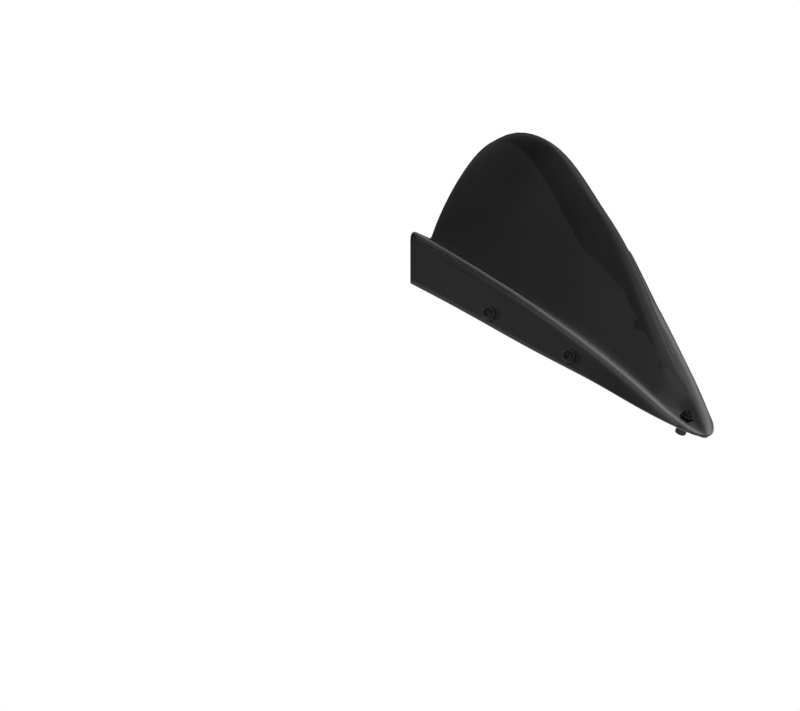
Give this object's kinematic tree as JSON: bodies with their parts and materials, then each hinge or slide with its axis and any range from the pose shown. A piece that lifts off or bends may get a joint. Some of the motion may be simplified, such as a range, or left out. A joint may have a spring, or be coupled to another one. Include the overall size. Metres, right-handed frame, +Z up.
{
  "type": "windshield screen",
  "caption": "Smoked racing windshield for a motorcycle nose fairing: a pointed nose, raised bubble and side wings in one thin acrylic sheet, held by rubber well-nut screw fixings.",
  "frame": {"origin": "on the axis of the nose fixing, in the plane where its rubber flange rests on the fairing panel", "axes": "+Z up and -Y to the front of the motorcycle with the screen as mounted; +X is the motorcycle's left side, so the part is mirrored about X = 0"},
  "size_m": [0.2554, 0.2702, 0.2854],
  "materials": {
    "smoked_acrylic": "dark smoke, transparent, polished both sides",
    "black_screw_steel": "black coated steel, satin",
    "nylon": "black nylon, slightly waxy",
    "well_nut_rubber": "black moulded rubber, matte",
    "insert_brass": "turned brass, plain"
  },
  "bodies": {
    "root": {"screen_shell": "smoked_acrylic", "nose_screw": "black_screw_steel", "nose_washer": "nylon", "nose_well_nut": "well_nut_rubber", "nose_brass_insert": "insert_brass", "left_front_screw": "black_screw_steel", "left_front_washer": "nylon", "left_front_well_nut": "well_nut_rubber", "left_front_brass_insert": "insert_brass", "right_front_screw": "black_screw_steel", "right_front_washer": "nylon", "right_front_well_nut": "well_nut_rubber", "right_front_brass_insert": "insert_brass", "left_rear_screw": "black_screw_steel", "left_rear_washer": "nylon", "left_rear_well_nut": "well_nut_rubber", "left_rear_brass_insert": "insert_brass", "right_rear_screw": "black_screw_steel", "right_rear_washer": "nylon", "right_rear_well_nut": "well_nut_rubber", "right_rear_brass_insert": "insert_brass"}
  },
  "joints": []
}
